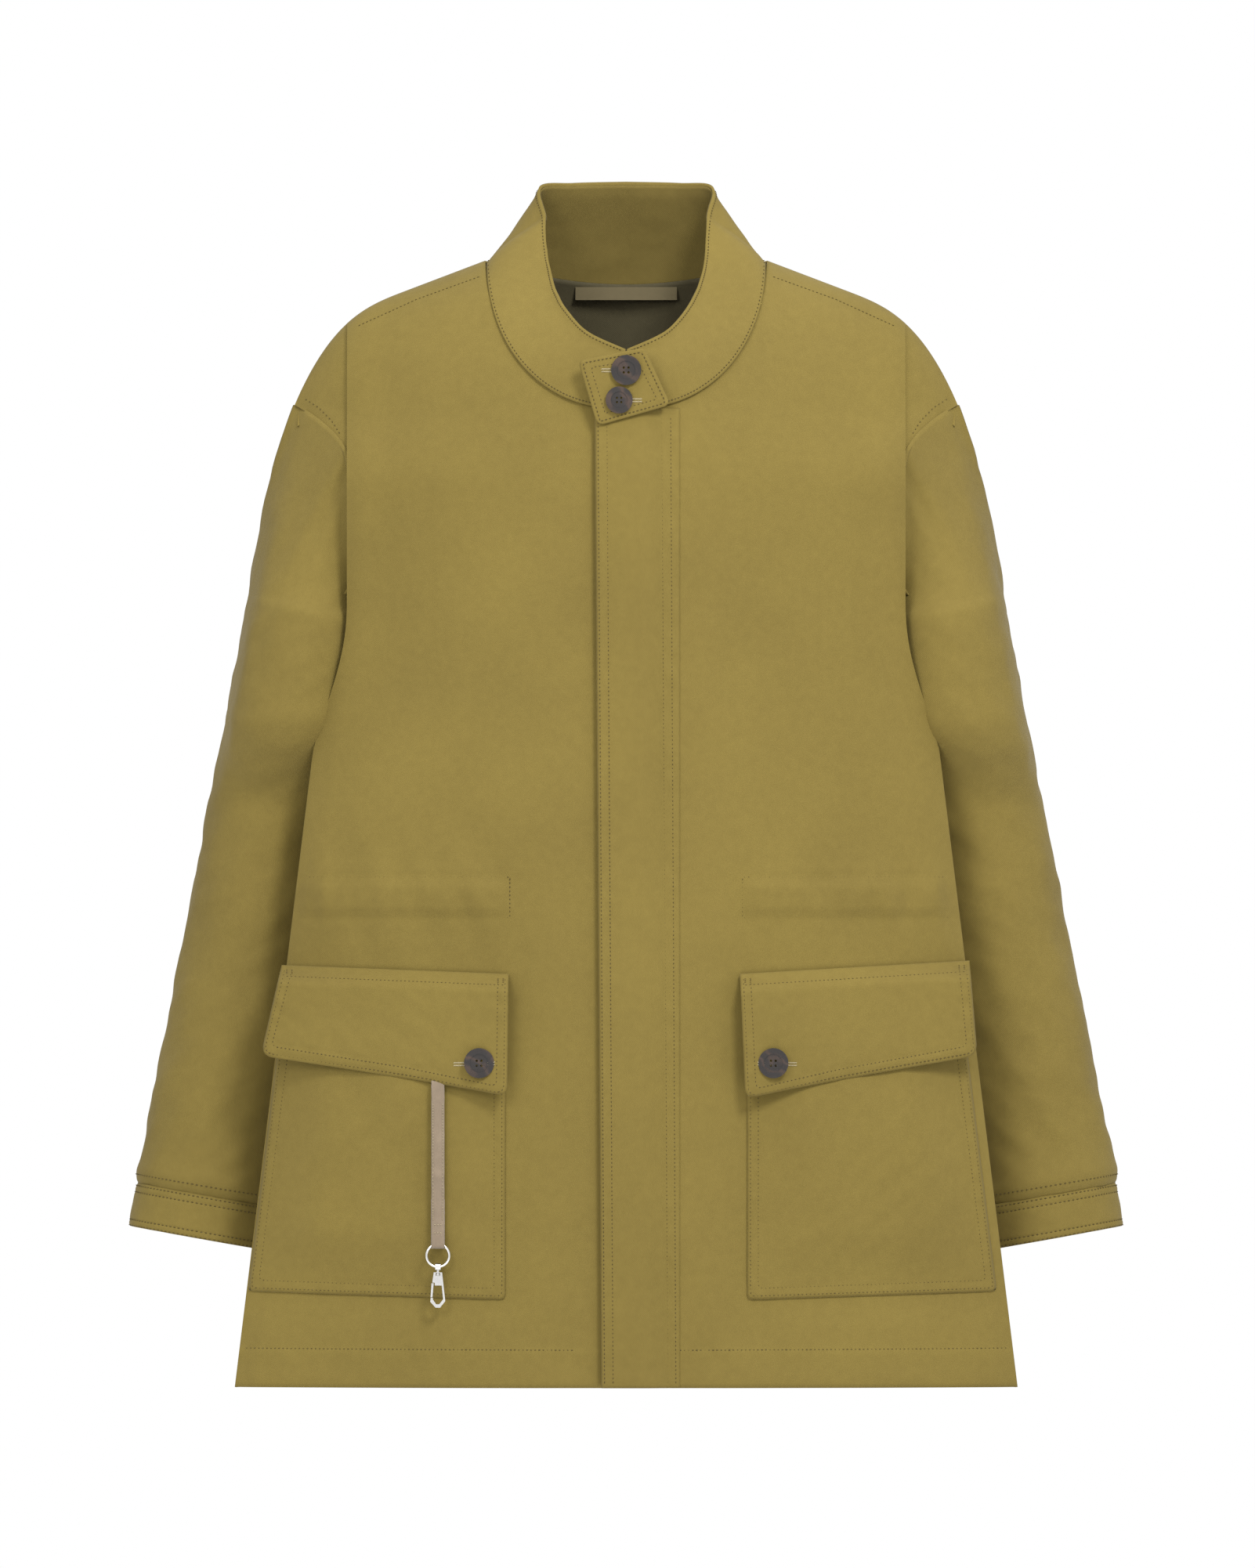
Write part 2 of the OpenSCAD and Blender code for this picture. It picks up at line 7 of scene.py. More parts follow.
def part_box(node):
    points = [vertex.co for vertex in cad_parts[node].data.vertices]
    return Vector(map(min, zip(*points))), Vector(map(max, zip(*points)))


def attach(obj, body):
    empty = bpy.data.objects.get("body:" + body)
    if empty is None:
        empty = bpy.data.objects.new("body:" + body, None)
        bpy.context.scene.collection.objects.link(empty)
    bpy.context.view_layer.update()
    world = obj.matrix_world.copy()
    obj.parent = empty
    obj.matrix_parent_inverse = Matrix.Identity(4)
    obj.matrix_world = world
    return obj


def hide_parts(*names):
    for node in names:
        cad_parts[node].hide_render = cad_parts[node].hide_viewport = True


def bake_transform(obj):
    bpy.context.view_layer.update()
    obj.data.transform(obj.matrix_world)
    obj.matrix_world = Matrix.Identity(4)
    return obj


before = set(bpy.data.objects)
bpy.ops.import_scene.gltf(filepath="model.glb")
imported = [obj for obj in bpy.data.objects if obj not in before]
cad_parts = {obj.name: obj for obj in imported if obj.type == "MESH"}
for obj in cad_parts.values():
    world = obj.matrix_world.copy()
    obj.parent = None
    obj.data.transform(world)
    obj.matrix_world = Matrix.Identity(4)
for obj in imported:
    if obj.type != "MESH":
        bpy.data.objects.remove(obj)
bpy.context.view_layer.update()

# Coat sizes are millimetres: x across, y back, z up from the hem. The frame's origin is the hanger loop
coat = {
    "hemHalf": 1000*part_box("left_front")[1].x, "hemDown": -1000*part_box("back_panel")[0].z, "loopBehind": 62,
    "chestHalf": 214, "shoulderHalf": 256, "hemDeep": 84, "chestDeep": 95, "armBase": 700, "tip": 754,
    "domeLow": 690, "crown": 905, "fall": 0.38, "side": -25, "ridge": 8, "neckHalf": 107,
    "frontNeck": 751, "backNeck": 847, "foldAt": 213,
}


def clip(t):
    return min(max(t, 0.0), 1.0)


def smooth(t):
    t = clip(t)
    return t*t*(3 - 2*t)


def mix(a, b, t):
    return a + (b - a)*t


def place(x, y, z):   # millimetres on the coat to metres in the frame
    return Vector((x, y - coat["loopBehind"], z - coat["hemDown"]))/1000


# the coat's own surface
def halfWidth(z):
    if z < coat["armBase"]:
        return mix(coat["hemHalf"], coat["chestHalf"], z/coat["armBase"])
    return mix(coat["chestHalf"], coat["shoulderHalf"], clip((z - coat["armBase"])/54)**2.2)


def middleY(z):
    return mix(coat["side"], coat["ridge"], smooth((z - coat["domeLow"])/64))


def depthAt(z):
    return mix(coat["hemDeep"], coat["chestDeep"], clip(z/coat["armBase"]))


def ridgeZ(x):
    return coat["crown"] - coat["fall"]*abs(x) - 54.5*max(0, (abs(x) - 170)/84)**3


def dome(x, z):
    if z <= coat["domeLow"]:
        return 1.0
    t = clip((z - coat["domeLow"])/max(ridgeZ(x) - coat["domeLow"], 1))
    return math.sqrt(max(0, 1 - t*t))


def lens(x, z, power):
    return max(0, 1 - (x/halfWidth(z))**2)**power


def frontShape(x, z):   # the front's own roundness reaches its shoulder width earlier, so the chest has no step
    taper = mix(coat["hemHalf"], coat["chestHalf"], clip(z/coat["armBase"]))
    wide = mix(taper, coat["shoulderHalf"], smooth((z - 560)/190))
    return middleY(z) - (depthAt(z) + middleY(z))*max(0, 1 - (x/wide)**2)**0.85*dome(x, z)


def soft(x, y, z, size, seed):
    return noise.noise(Vector((x/size, y/size, z/size + seed*7.3)))


def drape(x, z, seed):   # loose folds, always outwards so that the lining stays behind them
    across = x*0.9 + z*0.35
    long = 0.5 + 0.5*soft(across, 0, z*0.22, 62, seed)
    short = 0.5 + 0.5*soft(across*0.8 + z*0.5, 5, z*0.6, 27, seed + 3)
    calm = 1 - 0.75*math.exp(-((abs(x) - 8)/42)**2)
    calm *= 1 - 0.8*smooth((abs(x) - 66)/22)*smooth((z - 45)/22)*smooth((348 - z)/22)   # behind the pockets
    low = 0.55 + 0.9*smooth((120 - z)/120)*smooth((abs(x) - 30)/60)
    return (3.4*long + 1.1*short)*calm*low


def pucker(x, z):   # the drawn-in waist channel
    if abs(x) < 86:
        return 0
    inside = smooth((abs(x) - 86)/10)
    band = math.exp(-((z - 391)/3.5)**2) + math.exp(-((z - 360)/3.5)**2)
    near = math.exp(-((z - 375)/20)**4)
    ripple = soft(x, 0, z*0.3, 13, 2)*1.6*near
    ripple += soft(x + z*0.4, 0, z*0.2, 24, 3)*2.2*math.exp(-((z - 375)/48)**2)
    return (3.6*near + 1.5*ripple - 2.4*band)*inside


def frontY(x, z, lift=0.0):
    y = frontShape(x, z)
    rim = smooth((ridgeZ(x) - z)/30)*smooth((halfWidth(z) - abs(x))/18)
    return y - (drape(x, z, 1 if x > 0 else 2) + pucker(x, z))*rim - lift


def backY(x, z, lift=0.0):
    y = middleY(z) + (depthAt(z) - middleY(z))*lens(x, z, 0.6)*dome(x, z)
    rim = smooth((ridgeZ(x) - z)/30)*smooth((halfWidth(z) - abs(x))/25)
    return y + (0.5 + lift)*smooth((ridgeZ(x) - z)/9) + (0.8*drape(x + 400, z, 5) + 0.6*pucker(x, z))*rim


def frontNeck(x):
    rise = 1 - math.sqrt(max(0, 1 - min(abs(x)/coat["neckHalf"], 1)**2.3))
    return mix(coat["frontNeck"], ridgeZ(coat["neckHalf"]), rise)


def backNeck(x):
    return mix(coat["backNeck"], ridgeZ(coat["neckHalf"]), min(abs(x)/coat["neckHalf"], 1)**2)


# shader maths
class Sock:
    def __init__(self, tree, out):
        self.tree, self.out = tree, out

    def make(self, kind, settings=None, **values):
        node = self.tree.nodes.new(kind)
        for key, value in (settings or {}).items():
            setattr(node, key, value)
        for key, value in values.items():
            numbered = key[0] == "i" and key[1:].isdigit()
            socket = node.inputs[int(key[1:]) if numbered else key.replace("_", " ")]
            if isinstance(value, Sock):
                self.tree.links.new(value.out, socket)
            else:
                socket.default_value = value
        return node

    def maths(self, operation, *values):
        inputs = {f"i{k}": value for k, value in enumerate(values)}
        return Sock(self.tree, self.make("ShaderNodeMath", {"operation": operation}, **inputs).outputs[0])

    def __add__(self, other):
        return self.maths("ADD", self, other)

    def __radd__(self, other):
        return self.maths("ADD", other, self)

    def __sub__(self, other):
        return self.maths("SUBTRACT", self, other)

    def __rsub__(self, other):
        return self.maths("SUBTRACT", other, self)

    def __mul__(self, other):
        return self.maths("MULTIPLY", self, other)

    def __rmul__(self, other):
        return self.maths("MULTIPLY", other, self)

    def __pow__(self, other):
        return self.maths("POWER", self, other)

    def sine(self):
        return self.maths("SINE", self)

    def blend(self, low, high):   # a colour between two, by this value
        node = self.make("ShaderNodeMix", {"data_type": "RGBA", "clamp_factor": True})
        for socket, value in ((0, self), (6, low), (7, high)):
            if isinstance(value, Sock):
                self.tree.links.new(value.out, node.inputs[socket])
            else:
                node.inputs[socket].default_value = (*value, 1)
        return Sock(self.tree, node.outputs[2])


def startMaterial(name, rough, metal=0.0):
    material = bpy.data.materials.new(name)
    material.use_nodes = True
    tree = material.node_tree
    shader = tree.nodes["Principled BSDF"]
    shader.inputs["Roughness"].default_value = rough
    shader.inputs["Metallic"].default_value = metal
    coords = Sock(tree, tree.nodes.new("ShaderNodeTexCoord").outputs["Object"])
    return material, tree, shader, coords


def finishWith(tree, shader, colour=None, rough=None, height=None, strength=0.3, distance=0.0004):
    if colour is not None:
        tree.links.new(colour.out, shader.inputs["Base Color"])
    if rough is not None:
        tree.links.new(rough.out, shader.inputs["Roughness"])
    if height is not None:
        bump = height.make("ShaderNodeBump", None, Strength=strength, Distance=distance, Height=height)
        tree.links.new(bump.outputs["Normal"], shader.inputs["Normal"])


def grain(coords, scale, detail=3.0):
    node = coords.make("ShaderNodeTexNoise", None, Vector=coords, Scale=scale, Detail=detail)
    return Sock(coords.tree, node.outputs[0])


def clothMaterial(name, dark, light, rough=0.84, sheen=0.03, threads=1400, relief=0.3, paintedShading=0.35):
    material, tree, shader, coords = startMaterial(name, rough)
    shader.inputs["Sheen Weight"].default_value = sheen
    shader.inputs["Specular IOR Level"].default_value = 0.22
    shader.inputs["Sheen Roughness"].default_value = 0.5
    uv = Sock(tree, tree.nodes.new("ShaderNodeUVMap").outputs["UV"])
    parts = uv.make("ShaderNodeSeparateXYZ", None, Vector=uv)
    across, along = Sock(tree, parts.outputs[0]), Sock(tree, parts.outputs[1])
    twill = ((across + along)*threads*3.0).sine()
    warp = (across*threads*6.0).sine()
    weft = (along*threads*6.0).sine()
    weave = warp*weft*0.5 + twill*0.35 + 0.5
    blotch = grain(coords, 9.0, 4.0)
    slub = grain(coords, 160.0, 2.0)
    # painted highlight at the hem and painted shade in the waist channel, read from a per-vertex attribute and
    # added to the cloth's tone
    paintedShadingTone = coords.make("ShaderNodeAttribute", {"attribute_name": "paintedShading"})
    paintedShadingTone = Sock(tree, paintedShadingTone.outputs["Fac"])
    tone = blotch*0.75 + slub*0.35 + weave*0.10 - 0.12 + paintedShadingTone*paintedShading
    finishWith(tree, shader, tone.blend(dark, light), blotch*0.1 + (rough - 0.05),
               weave*0.6 + slub*0.8, relief, 0.00035)
    return material


def metalMaterial(name, colour, rough):
    material, tree, shader, coords = startMaterial(name, rough, 1.0)
    scratch = grain(coords, 900.0, 4.0)
    tint = grain(coords, 60.0)
    dull = tuple(c*0.72 for c in colour)
    finishWith(tree, shader, tint.blend(dull, colour), scratch*0.18 + rough*0.7, scratch, 0.06, 0.0001)
    return material


def hornMaterial():
    material, tree, shader, coords = startMaterial("buttonHorn", 0.28)
    shader.inputs["Coat Weight"].default_value = 0.25
    shader.inputs["Coat Roughness"].default_value = 0.15
    swirl = coords.make("ShaderNodeTexWave", {"wave_type": "BANDS", "bands_direction": "DIAGONAL"},
                        Vector=coords, Scale=38.0, Distortion=9.0, Detail=3.0, Detail_Scale=1.5)
    swirl = Sock(tree, swirl.outputs["Fac"])
    cloud = grain(coords, 70.0)
    finishWith(tree, shader, (swirl**3.0*cloud*1.3).blend((0.0085, 0.0056, 0.0045), (0.042, 0.022, 0.013)),
               cloud*0.15 + 0.2, cloud, 0.05)
    return material


def suedeMaterial():
    material, tree, shader, coords = startMaterial("strapSuede", 0.95)
    shader.inputs["Sheen Weight"].default_value = 0.35
    nap = grain(coords, 1500.0, 4.0)
    patch = grain(coords, 90.0, 3.0)
    finishWith(tree, shader, (patch*0.9 + nap*0.3 - 0.1).blend((0.105, 0.076, 0.048), (0.21, 0.160, 0.108)),
               patch*0.08 + 0.86, nap, 0.5, 0.0003)
    return material


finishes = {
    "shell": clothMaterial("shellCotton", (0.104, 0.074, 0.0135), (0.166, 0.122, 0.0265)),
    "facing": clothMaterial("neckFacing", (0.044, 0.036, 0.017), (0.078, 0.066, 0.033), rough=0.8, paintedShading=0.2),
    # the collar's inside is the shell cloth made darker: painted shade
    "collarInner": clothMaterial("collarInner", (0.090, 0.064, 0.0125), (0.140, 0.103, 0.024)),
    "lining": clothMaterial("bodyLining", (0.036, 0.029, 0.013), (0.062, 0.050, 0.024), rough=0.6, sheen=0.3),
    "loop": clothMaterial("loopTape", (0.075, 0.060, 0.030), (0.13, 0.105, 0.055)),
    # the thread is darker than the cloth: partly its own colour, partly painted shade of the stitch holes
    "thread": clothMaterial("seamThread", (0.050, 0.034, 0.007), (0.085, 0.060, 0.016), threads=4000),
    "cream": clothMaterial("buttonholeThread", (0.30, 0.25, 0.14), (0.46, 0.40, 0.26), threads=4000),
    "elastic": clothMaterial("knitElastic", (0.45, 0.43, 0.38), (0.7, 0.68, 0.62), threads=900),
    "tape": clothMaterial("zipTape", (0.035, 0.028, 0.014), (0.075, 0.06, 0.03), threads=1800),
    "nickel": metalMaterial("nickelPlate", (0.74, 0.73, 0.71), 0.22),
    "zipMetal": metalMaterial("zipBrass", (0.42, 0.33, 0.18), 0.35),
    "horn": hornMaterial(),
    "suede": suedeMaterial(),
}
print("finishes made")


# building pieces
def settle(bm, name, finish, toneOf=None):
    bmesh.ops.recalc_face_normals(bm, faces=bm.faces[:])
    layer = bm.loops.layers.uv.new("UVMap")
    for face in bm.faces:
        face.smooth = True
        for loop in face.loops:
            loop[layer].uv = (loop.vert.co.x, loop.vert.co.z)
    mesh = bpy.data.meshes.new(name)
    bm.to_mesh(mesh)
    bm.free()
    mesh.materials.append(finishes[finish])
    # stores painted highlight and painted shade per vertex for the cloth material
    if toneOf:
        tones = mesh.attributes.new("paintedShading", "FLOAT", "POINT")
        for vertex in mesh.vertices:
            tones.data[vertex.index].value = toneOf(vertex.co)
    piece = bpy.data.objects.new(name, mesh)
    bpy.context.scene.collection.objects.link(piece)
    return piece


def clothPiece(name, cols, rows, pointAt, finish="shell", thick=1.5, outward=1,
               toneOf=None, closed=False):
    # pointAt(u, v) gives a point in millimetres; outward is 1 where u to the right and v up face the viewer
    bm = bmesh.new()
    bmesh.ops.create_grid(bm, x_segments=cols, y_segments=rows, size=0.5)
    for vert in bm.verts:
        vert.co = place(*pointAt(vert.co.x + 0.5, vert.co.y + 0.5))
    if closed:   # rows that meet are joined
        bmesh.ops.remove_doubles(bm, verts=bm.verts[:], dist=2e-6)
    bm.normal_update()
    outwards = {vert: vert.normal.copy() for vert in bm.verts}
    bmesh.ops.extrude_face_region(bm, geom=bm.faces[:], use_keep_orig=True)
    for vert, normal in outwards.items():
        vert.co -= normal*outward*thick/1000
    return settle(bm, name, finish, toneOf)


def seamRun(line, length, pitch=3.1, stitch=2.2, across=0.95, high=0.5):
    # line(t) gives a point and a direction out of the cloth for t in 0 to 1
    count = max(2, int(length/pitch))
    made = []
    for k in range(count):
        t = (k + 0.5)/count
        at, out = line(t)
        ahead = (line(min(t + 0.2/count, 1))[0] - line(max(t - 0.2/count, 0))[0]).normalized()
        beside = out.cross(ahead).normalized()
        made.append((at, ahead*stitch/2000, beside*across/2000, out.normalized()*high/1000))
    return made


def stitchPiece(name, runs, finish="thread"):
    bm = bmesh.new()
    for at, ahead, beside, up in (one for run in runs for one in run):
        corners = [at - ahead - up*0.3, at + ahead - up*0.3]
        ring = [at + beside, at + up, at - beside, at - up*0.6]
        a, b = (bm.verts.new(c) for c in corners)
        middle = [bm.verts.new(c) for c in ring]
        for k in range(4):
            bm.faces.new((a, middle[k], middle[(k + 1) % 4]))
            bm.faces.new((b, middle[(k + 1) % 4], middle[k]))
    return settle(bm, name, finish)


def frontLine(surface, route):   # a stitch line on a surface that looks forwards
    def line(t):
        x, z = route(t)
        y = surface(x, z)
        slopeX = (surface(x + 1, z) - surface(x - 1, z))/2
        slopeZ = (surface(x, z + 1) - surface(x, z - 1))/2
        return place(x, y, z), Vector((slopeX, -1, slopeZ)).normalized()
    return line


def polyRoute(points):   # an even walk along a path of corners
    spans = [math.dist(a, b) for a, b in zip(points, points[1:])]
    total = sum(spans)

    def route(t):
        left = clip(t)*total
        for (a, b), span in zip(zip(points, points[1:]), spans):
            if left <= span:
                return tuple(mix(p, q, left/span) for p, q in zip(a, b))
            left -= span
        return points[-1]
    return route, total


def rounded(points, radius, steps=5):   # a path with its inner corners rounded
    made = [points[0]]
    for before, at, after in zip(points, points[1:], points[2:]):
        at, before, after = Vector(at), Vector(before), Vector(after)
        start = at + (before - at).normalized()*radius
        end = at + (after - at).normalized()*radius
        for k in range(steps + 1):
            t = k/steps
            made.append(tuple(start*(1 - t)**2 + at*2*t*(1 - t) + end*t*t))
    return made + [points[-1]]


def runOn(surface, points, radius=0):
    route, total = polyRoute(rounded(points, radius) if radius else points)
    return seamRun(frontLine(surface, route), total)


sides = (("left", 1), ("right", -1))
turnStart, turnEnd = place(0, 0, 738), place(0, 0, 600)   # points 738 and 600 mm up the coat's middle, marking where a front's cloth would start and end turning

# front panels, shoulder caps and the back
panel = {"inner": 5, "cols": 70, "rows": 200, "hemLine": 29, "flyLine": 34}


def foldEdge(z):   # the front's outer edge: the side seam low down, the fold beside the sleeve higher up
    return mix(halfWidth(min(z, coat["armBase"])), coat["foldAt"] + 1, smooth((z - 480)/120))


def edgeCurl(x, z):   # the fold beside the sleeve, and the side seam, roll back
    return 3.2*smooth((z - 490)/80)*smooth((abs(x) - foldEdge(z) + 34)/30)


def seamRipple(x, z):
    hem = math.exp(-((z - panel["hemLine"])/11)**2)*soft(x + z*0.8, 0, 0, 10, 4)
    fly = math.exp(-((abs(x) - panel["flyLine"])/8)**2)*soft(z + x, 0, 0, 11, 5)
    hemEdge = 0.9*smooth((6 - z)/6)
    return 0.9*hem + 0.6*fly - hemEdge


def panelY(x, z):
    return frontY(x, z) - edgeCurl(x, z) - seamRipple(x, z)


def topAt(x):
    return min(frontNeck(x) + 3, ridgeZ(x)) if abs(x) < coat["neckHalf"] else ridgeZ(x)


def panelPoint(side):
    def at(u, v):
        knee = 0.84
        if v <= knee:
            z = coat["domeLow"]*v/knee
            x = mix(panel["inner"], foldEdge(z), math.sin(math.pi/2*u))
        else:
            x = mix(panel["inner"], coat["foldAt"] + 1, math.sin(math.pi/2*u))
            ridge = ridgeZ(x)
            z = coat["domeLow"] + (ridge - coat["domeLow"])*math.sin(math.pi/2*(v - knee)/(1 - knee))
            z = min(z, topAt(x))
        return side*x, panelY(side*x, z), z
    return at


def capPoint(side):
    def at(u, v):
        x = mix(204, 254.5, u)
        low = coat["armBase"] + 54*clip((x - 214)/42)**(1/2.2) if x > 214 else 690
        low = max(low, 690)
        ridge = ridgeZ(x)
        start = math.asin(clip((low - coat["domeLow"])/(ridge - coat["domeLow"])))
        z = coat["domeLow"] + (ridge - coat["domeLow"])*math.sin(mix(start, math.pi/2, v))
        return side*x, frontY(side*x, z) + 0.8, z
    return at


def armOpen(z):
    t = abs(z - 680)/74
    return math.sqrt(1 - t*t) if t < 1 else 0


def backHalf(z):
    return halfWidth(min(z, coat["tip"]))*(1 - 0.26*armOpen(z))


def backPoint(u, v):
    knee = 0.8
    turn = math.sin(mix(math.pi/2, -math.pi/2, u))
    if v <= knee:
        z = coat["domeLow"]*v/knee
        x = (backHalf(z) - 0.02)*turn
    else:
        t = (v - knee)/(1 - knee)
        edgeZ = coat["domeLow"] + 100*math.sin(1.55*t)   # the outer edge follows the armhole up to its tip
        x = min(backHalf(edgeZ) + 6, 252)*turn if edgeZ < coat["tip"] else 252*turn
        ridge = ridgeZ(x)
        top = backNeck(x) if abs(x) < coat["neckHalf"] else ridge
        full = math.asin(clip((top - coat["domeLow"])/(ridge - coat["domeLow"])))
        z = coat["domeLow"] + (ridge - coat["domeLow"])*math.sin(full*t)
    return x, backY(x, z, 1), z


def neckFacingPoint(u, v):
    x = mix(-100, 100, u)
    z = mix(715, backNeck(x) - 1, v)
    return x, middleY(z) + (depthAt(z) - middleY(z))*lens(x, z, 0.6)*dome(x, z) - 2.5, z


def paintedHemLightChannelShade(co):   # painted highlight: the cloth is made paler along the hem edge and the hem seam, and painted shade darkens the waist channel
    x, z = abs(co.x*1000), co.z*1000 + coat["hemDown"]
    # painted shade in the waist channel
    channel = 0.5*math.exp(-((z - 375)/13)**2)*(x > 88)*0.4
    return 0.6*math.exp(-(z/2.2)**2) + 0.35*math.exp(-((z - panel["hemLine"])/2.5)**2) - channel


def frontLiningPoint(side):
    def at(u, v):
        z = mix(26, 690, v)
        x = mix(17, foldEdge(z) - 9, math.sin(math.pi/2*u))
        return side*x, frontShape(x, z) + 3.6, z
    return at


for label, side in sides:
    inside = clothPiece(f"{label}FrontLining", 30, 60, frontLiningPoint(side), finish="lining",
                        thick=0.8, outward=side)
    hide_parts(f"{label}_front_lining")
    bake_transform(inside)
    # the front cloth carries the painted hem highlight and the painted channel shade
    body = clothPiece(f"{label}FrontCloth", panel["cols"], panel["rows"], panelPoint(side), outward=side,
                      toneOf=paintedHemLightChannelShade, closed=True)
    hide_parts(f"{label}_front", f"{label}_upper_front")
    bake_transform(body)
    cap = clothPiece(f"{label}ShoulderCap", 20, 40, capPoint(side), outward=side)
    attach(cap, "coat")
back = clothPiece("backCloth", 120, 150, backPoint)
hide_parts("back_panel")
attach(back, "coat")
facing = clothPiece("backNeckFacing", 60, 40, neckFacingPoint, finish="facing", thick=0.8)
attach(facing, "coat")
print("body cloth made")

# fly over the zip
fly = {"reach": 24, "right": 38, "low": 0, "high": 749.5, "gap": 4.4, "seamTop": 743}


def flyFree(z):   # the fly's free edge slants a little
    return -fly["reach"] + 5*(1 - z/730)


def flyY(x, z):
    lift = 0.6 + (2 + fly["gap"])*(1 - smooth((x - 10)/26))
    groove = 0.7*math.exp(-((x - 27 - 5*(1 - z/730))/1.4)**2) + 0.5*math.exp(-((x + fly["reach"] - 9.5)/1.6)**2)
    edge = 1.3*smooth((flyFree(z) + 2.4 - x)/3)
    ripple = 0.55*soft(z + x*1.4, 0, 0, 12, 6)*math.exp(-((x - 30)/12)**2)
    ripple += 0.45*soft(z - x, 0, 0, 15, 7)*math.exp(-((x + 18)/9)**2)
    return panelY(x, z) - lift + groove + edge - ripple


def flyPoint(u, v):
    z = mix(fly["low"], fly["high"], v)
    x = mix(flyFree(z), fly["right"] + 3, u)
    return x, flyY(x, z), z


placket = clothPiece("flyCloth", 30, 300, flyPoint, thick=1.6)
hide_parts("fly")
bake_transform(placket)
flyLines = [
    [(-fly["reach"] + 5 + 2.4, 3), (-fly["reach"] + 2.4, fly["seamTop"])],
    [(-fly["reach"] + 5 + 9, 3), (-fly["reach"] + 9.3, fly["seamTop"])],
    [(32, 3), (27, fly["seamTop"])], [(38, 3), (34, fly["seamTop"])],
]
flySeams = stitchPiece("flyStitches", [runOn(flyY, line) for line in flyLines])
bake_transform(flySeams)
toothReach = (Vector((0.0026, 0, 0)), Vector((0, 0, 0.0008)), Vector((0, -0.0014, 0)))   # ahead, beside and out
for label, side in sides:
    def tapePoint(u, v, side=side):
        x, z = mix(3.6, 15.6, u), mix(10, 722, v)
        return side*x, frontShape(x, z) + 3.4, z
    tape = clothPiece(f"{label}ZipTape", 4, 120, tapePoint, finish="tape", thick=0.6, outward=side)
    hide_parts(f"{label}_zip_tape")
    teeth = []
    for k in range(int(690/3)):
        z = 22 + 3*k + (1.5 if side > 0 else 0)
        teeth.append((place(side*1.3, frontShape(0, z) + 2.6, z), *toothReach))
    rows = stitchPiece(f"{label}ZipTeeth", [teeth], "zipMetal")
    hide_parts(f"{label}_zip_teeth")
    for one in (tape, rows):
        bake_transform(one)
print("fly made")

# collar and throat tab
collar = {
    "edge": [(0.6, -84, 795), (30, -77, 809), (48, -60, 829), (57, -40, 848), (60, -22, 868),
             (62, 0, 898), (67, 20, 921), (40, 38, 924), (0, 43, 925)],
    "frontShare": 0.62, "bulge": 4.0,
}


def curveAt(points, t):
    last = len(points) - 1
    s = clip(t)*last
    k = min(int(s), last - 1)
    f = s - k
    a, b, c, d = (Vector(points[i]) for i in (max(k - 1, 0), k, k + 1, min(k + 2, last)))
    return b + f*((c - a)/2 + f*((2*a - 5*b + 4*c - d)/2 + f*(3*b - a - 3*c + d)/2))


def collarFoot(t):
    share = collar["frontShare"]
    if t < share:
        x = max(coat["neckHalf"]*math.sin(math.pi/2*t/share), 0.6)
        z = frontNeck(x) - 2
        return Vector((x, frontY(x, z, 2.6), z))
    x = coat["neckHalf"]*math.cos(math.pi/2*(t - share)/(1 - share))
    z = backNeck(x) - 2
    return Vector((x, backY(x, z, 1) + 0.4, z))


def collarBase(u, v):
    t, side = (2*u, 1) if u < 0.5 else (2 - 2*u, -1)
    p = collarFoot(t).lerp(curveAt(collar["edge"], t), v)
    out = Vector((p.x, (p.y + 20)*0.9, 0)).normalized()
    wave = 1.4*soft(side*p.x, p.y, p.z*0.6, 34, 8) + 0.5*soft(side*p.x, p.y, p.z, 14, 9)
    p += out*(collar["bulge"]*math.sin(math.pi*min(v*1.15, 1)) + wave*smooth(v*4))
    return Vector((side*p.x, p.y, p.z))


def collarPoint(inset):
    def at(u, v):
        if not inset:
            return tuple(collarBase(u, v))
        w = min(max(v, 0.01), 0.99)
        s = min(max(u, 0.003), 0.997)
        along = collarBase(s + 0.002, w) - collarBase(s - 0.002, w)
        up = collarBase(s, w + 0.01) - collarBase(s, w - 0.01)
        return tuple(collarBase(u, v) - along.cross(up).normalized()*inset)
    return at


stand = clothPiece("collarCloth", 220, 30, collarPoint(0), thick=2.0)
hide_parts("collar")
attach(stand, "coat")
innerCollar = collarPoint(2.1)
standFacing = clothPiece("collarFacing", 220, 30, lambda u, v: innerCollar(mix(0.004, 0.996, u), v*0.975),
                         finish="collarInner", thick=0.9)
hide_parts("collar_facing")
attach(standFacing, "coat")


def collarLine(v):
    point = collarPoint(-0.3)

    def line(t):
        t = mix(0.004, 0.99, t)
        at, beside, above = (place(*point(s, w)) for s, w in ((t, v), (t + 0.002, v), (t, v - 0.02)))
        return at, -(beside - at).cross(above - at).normalized()
    return seamRun(line, 620)


tab = {"corners": [(34, 752), (14, 796), (-37, 786), (-22, 736)], "front": -103.3, "thick": 2.2, "round": 5.0}


# moves a point near a square corner onto a round one; a and b are its distances to the two edges
def roundCorner(a, b, radius):
    if a >= radius or b >= radius:
        return a, b
    p, q = radius - a, radius - b
    reach = max(p, q)/max(math.hypot(p, q), 1e-9)
    return radius - p*reach, radius - q*reach


